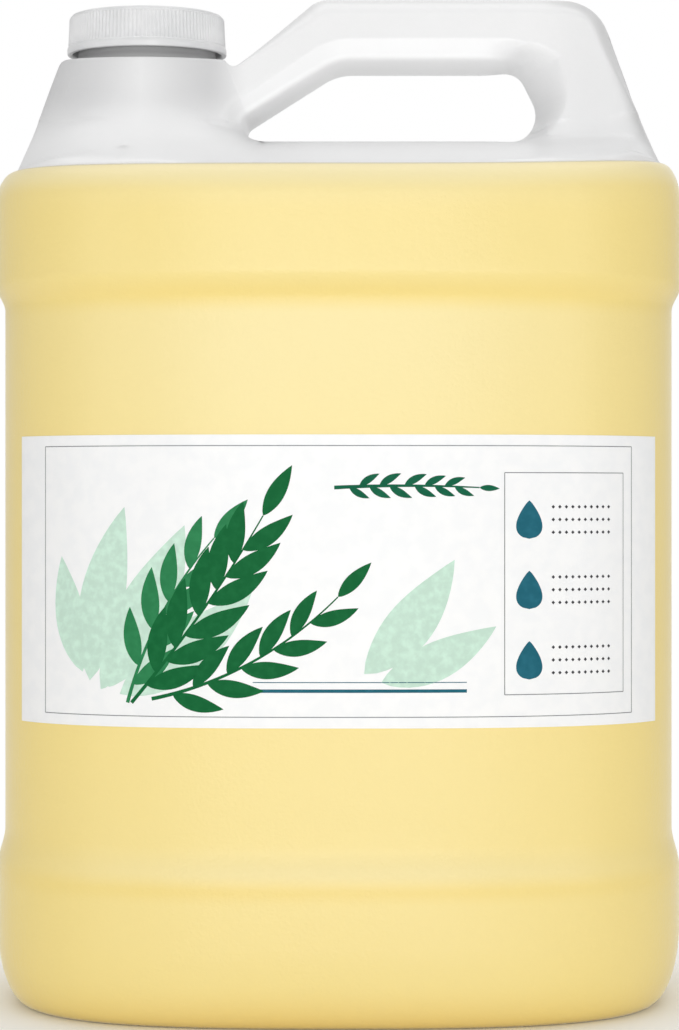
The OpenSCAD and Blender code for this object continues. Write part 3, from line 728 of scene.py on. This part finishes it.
def stroke(track, thick):
    # A line of even or tapering width along a track of (u, v)
    rows = []
    for k, (u, v) in enumerate(track):
        a, b = track[max(k - 1, 0)], track[min(k + 1, len(track) - 1)]
        run = math.hypot(b[0] - a[0], b[1] - a[1])
        nu, nv = -(b[1] - a[1]) / run, (b[0] - a[0]) / run
        w = thick(k / (len(track) - 1)) / 2
        rows.append([(u - nu * w, v - nv * w), (u + nu * w, v + nv * w)])
    return rows


def rule(u0, v0, u1, v1, thick):
    # A straight line of even width
    return stroke([(mix(u0, u1, t), mix(v0, v1, t)) for t in np.linspace(0, 1, 60)], lambda t: thick)


def drop(u, v, size):
    # A drop of oil, pointed at its top
    rows = []
    for k in range(25):
        t = k / 24
        half = size * 0.36 * math.sin(math.pi * t ** 0.62) ** 0.8 if 0 < t < 1 else 0
        rows.append([(u + w * half, v + size * (t - 0.5)) for w in ink_across])
    return rows


def branch(u, v, angle, length, bend, leaves, size):
    # A bent stem with leaves in turn on its two sides and one at its tip
    track = []
    for t in np.linspace(0, 1, 30):
        g = angle + bend * t / 2
        track.append((u + length * t * math.cos(g), v + length * t * math.sin(g)))
    parts = [stroke(track, lambda t: 0.9 - 0.6 * t)]
    for k in range(leaves):
        t = 0.12 + 0.8 * k / leaves
        at = track[int(t * 29)]
        out = (0.75 - 0.2 * t) * (1 if k % 2 else -1)
        scale = size * (1 - 0.35 * abs(t - 0.4))
        parts.append(leaf(*at, angle + bend * t + out, scale, scale * 0.3, -0.35 if k % 2 else 0.35))
    parts.append(leaf(*track[-1], angle + bend, size * 0.8, size * 0.24))
    return parts


def printed(name, ink, out, parts):
    # Strips of ink laid on the curved face of the label
    vertices, faces = [], []
    for rows in parts:
        n = len(rows[0])
        start = len(vertices)
        for row in rows:
            vertices.extend([c / 1000 for c in on_label(u, v, label_face + out)] for u, v in row)
        for a in range(len(rows) - 1):
            at = start + a * n
            faces += [[at + b, at + b + 1, at + n + b + 1, at + n + b] for b in range(n - 1)]
    thing = bpy.data.objects.new(name, bpy.data.meshes.new(name))
    bpy.context.scene.collection.objects.link(thing)
    thing.data.from_pydata(vertices, [], faces)
    stuff = bpy.data.materials.new(name)
    stuff.use_nodes = True
    tree = stuff.node_tree
    skin = tree.nodes["Principled BSDF"]
    skin.inputs["Roughness"].default_value = 0.6
    skin.inputs["Specular IOR Level"].default_value = 0.15
    place = wire(tree, "ShaderNodeTexCoord").outputs["Object"]
    speck = wire(tree, "ShaderNodeGroup", {"node_tree": grain}, Vector=place)
    light = tuple(min(1, c * 1.15 + 0.004) for c in ink)
    tree.links.new(ramp(tree, speck.outputs[0], [(0.35, ink), (0.75, light)]), skin.inputs["Base Color"])
    thing.data.materials.append(stuff)
    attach(thing, "jug")


def dots(u0, u1, v, step, size):
    # A row of small lozenges
    return [[[(u - size / 2, v)] * 2, [(u, v - size / 2), (u, v + size / 2)], [(u + size / 2, v)] * 2]
            for u in np.arange(u0, u1, step)]


low, high = label_low + 2.6, label_high - 2.6
printed("print_pale_leaves", (0.55, 0.74, 0.62), 0.02, [
    leaf(-57, 80, 0.95, 44, 14, 0.25), leaf(-52, 79, 0.5, 40, 12, 0.3), leaf(-60, 82, 1.45, 42, 12, -0.2),
    leaf(-62, 84, 1.9, 28, 9, -0.2), leaf(6, 84, 0.75, 34, 11, 0.3), leaf(10, 82, 0.3, 30, 9, 0.3)])
printed("print_sprig_light", (0.02, 0.2, 0.07), 0.03, branch(-50, 77, 1.3, 44, -0.45, 8, 15))
printed("print_sprig", (0.0, 0.12, 0.03), 0.04,
        branch(-49, 77, 0.85, 54, 0.2, 11, 17) + branch(-44, 78, 0.2, 50, 0.6, 9, 14))
printed("print_garland", (0.0, 0.11, 0.05), 0.03, branch(-1, 127.5, 0.05, 34, -0.1, 11, 6))
printed("print_rules", (0.2, 0.21, 0.21), 0.02, [
    rule(-74, low, 74, low, 0.2), rule(-74, high, 74, high, 0.2),
    rule(-74, low, -74, high, 0.2), rule(74, low, 74, high, 0.2),
    rule(39, 79, 71, 79, 0.2), rule(39, 131, 71, 131, 0.2),
    rule(39, 79, 39, 131, 0.2), rule(71, 79, 71, 131, 0.2)])
rows_of_dots = []
for v in (84, 87, 90, 100.5, 103.5, 106.5, 117, 120, 123):
    rows_of_dots += dots(51, 68, v, 1.7, 0.9)
printed("print_dots", (0.05, 0.05, 0.055), 0.02, rows_of_dots)
printed("print_drops", (0.01, 0.12, 0.17), 0.03, [drop(45, v, 9) for v in (87, 103.5, 120)])
printed("print_band", (0.01, 0.12, 0.17), 0.02, [rule(-20, 80, 30, 80, 0.8), rule(-20, 82, 30, 82, 0.2)])


# ---- oil and liner ----
# The massage oil that fills the body up to the shoulder, pale yellow and clear, and the disc of foamed
# polyethylene that is pressed into the cap and seals on the neck.
oil = bpy.data.materials.new("oil")
oil.use_nodes = True
tree = oil.node_tree
skin = tree.nodes["Principled BSDF"]
skin.inputs["Roughness"].default_value = 0.08
place = wire(tree, "ShaderNodeTexCoord").outputs["Object"]
cloud = wire(tree, "ShaderNodeTexNoise", Vector=place, Scale=14.0, Detail=2.0)
tree.links.new(ramp(tree, cloud.outputs[0], [(0.3, (0.9, 0.68, 0.2)), (0.7, (0.94, 0.76, 0.3))]),
               skin.inputs["Base Color"])
foam = bpy.data.materials.new("liner_foam")
foam.use_nodes = True
tree = foam.node_tree
skin = tree.nodes["Principled BSDF"]
skin.inputs["Roughness"].default_value = 0.7
place = wire(tree, "ShaderNodeTexCoord").outputs["Object"]
cells = wire(tree, "ShaderNodeTexVoronoi", Vector=place, Scale=900.0)
tree.links.new(ramp(tree, cells.outputs["Distance"], [(0.0, (0.6, 0.61, 0.6)), (0.6, (0.84, 0.85, 0.84))]),
               skin.inputs["Base Color"])
relief = wire(tree, "ShaderNodeBump", Height=cells.outputs["Distance"], Strength=0.4, Distance=0.0002)
tree.links.new(relief.outputs[0], skin.inputs["Normal"])
for name, stuff in (("oil_fill", oil), ("cap_liner", foam)):
    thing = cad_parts[name]
    thing.data.materials.clear()
    thing.data.materials.append(stuff)


# ---- stage and light ----
# A seamless white table that fades into white air away from the jug, a long strip light that draws the
# upright highlight, and softboxes round the front, sides, back and top.
floor = bpy.data.objects.new("stage_floor", bpy.data.meshes.new("stage_floor"))
bpy.context.scene.collection.objects.link(floor)
floor.data.from_pydata([(-6, -6, 0), (6, -6, 0), (6, 6, 0), (-6, 6, 0)], [], [(0, 1, 2, 3)])
white = bpy.data.materials.new("stage_white")
white.use_nodes = True
nodes, links = white.node_tree.nodes, white.node_tree.links
skin = nodes["Principled BSDF"]
skin.inputs["Base Color"].default_value = (0.95, 0.95, 0.95, 1)
skin.inputs["Roughness"].default_value = 0.9
skin.inputs["Specular IOR Level"].default_value = 0
# Away from the jug the table is as white as the air behind it for the camera
where = nodes.new("ShaderNodeTexCoord")
reach = nodes.new("ShaderNodeVectorMath")
reach.operation = "LENGTH"
links.new(where.outputs["Object"], reach.inputs[0])
far_off = nodes.new("ShaderNodeMapRange")
far_off.inputs["From Min"].default_value = 0.075
far_off.inputs["From Max"].default_value = 0.19
links.new(reach.outputs["Value"], far_off.inputs["Value"])
seen = nodes.new("ShaderNodeLightPath")
both = nodes.new("ShaderNodeMath")
both.operation = "MULTIPLY"
links.new(far_off.outputs[0], both.inputs[0])
links.new(seen.outputs["Is Camera Ray"], both.inputs[1])
glow = nodes.new("ShaderNodeEmission")
blend = nodes.new("ShaderNodeMixShader")
links.new(both.outputs[0], blend.inputs["Fac"])
links.new(skin.outputs[0], blend.inputs[1])
links.new(glow.outputs[0], blend.inputs[2])
links.new(blend.outputs[0], nodes["Material Output"].inputs["Surface"])
floor.data.materials.append(white)

world = bpy.data.worlds.new("studio")
bpy.context.scene.world = world
world.use_nodes = True
nodes, links = world.node_tree.nodes, world.node_tree.links
air = nodes["Background"]
air.inputs["Color"].default_value = (1, 1, 1, 1)
path = nodes.new("ShaderNodeLightPath")
level = nodes.new("ShaderNodeMix")
level.inputs["A"].default_value = 0.53
level.inputs["B"].default_value = 1
links.new(path.outputs["Is Camera Ray"], level.inputs["Factor"])
links.new(level.outputs["Result"], air.inputs["Strength"])

for name, place, aim, wide, high, power in (
        ("light_strip", (-0.06, -1.5, 0.12), (0, 0, 0.13), 0.3, 0.9, 1.1),
        ("light_front", (-0.1, -1.4, 0.3), (0, 0, 0.13), 1.0, 0.5, 2.8),
        ("light_side_left", (-1.1, -0.9, 0.3), (0, 0, 0.13), 0.5, 0.6, 1.2),
        ("light_side_right", (1.1, -0.9, 0.3), (0, 0, 0.13), 0.5, 0.6, 1.5),
        ("light_low", (0.1, -0.9, 0.05), (0.02, 0, 0.2), 0.9, 0.08, 1.0),
        ("light_back", (0.2, 1.3, 0.6), (0, 0, 0.13), 0.9, 0.9, 1.1),
        ("light_top", (0, 0.3, 1.3), (0, 0.1, 0), 1.6, 1.0, 5.4)):
    lamp = bpy.data.objects.new(name, bpy.data.lights.new(name, "AREA"))
    bpy.context.scene.collection.objects.link(lamp)
    lamp.data.shape = "RECTANGLE"
    lamp.data.size = wide
    lamp.data.size_y = high
    lamp.data.energy = power
    lamp.location = place
    away = np.array(place) - np.array(aim)
    lamp.rotation_euler = (math.acos(away[2] / np.linalg.norm(away)), 0, math.atan2(away[0], -away[1]))
bpy.context.scene.view_settings.view_transform = "Standard"
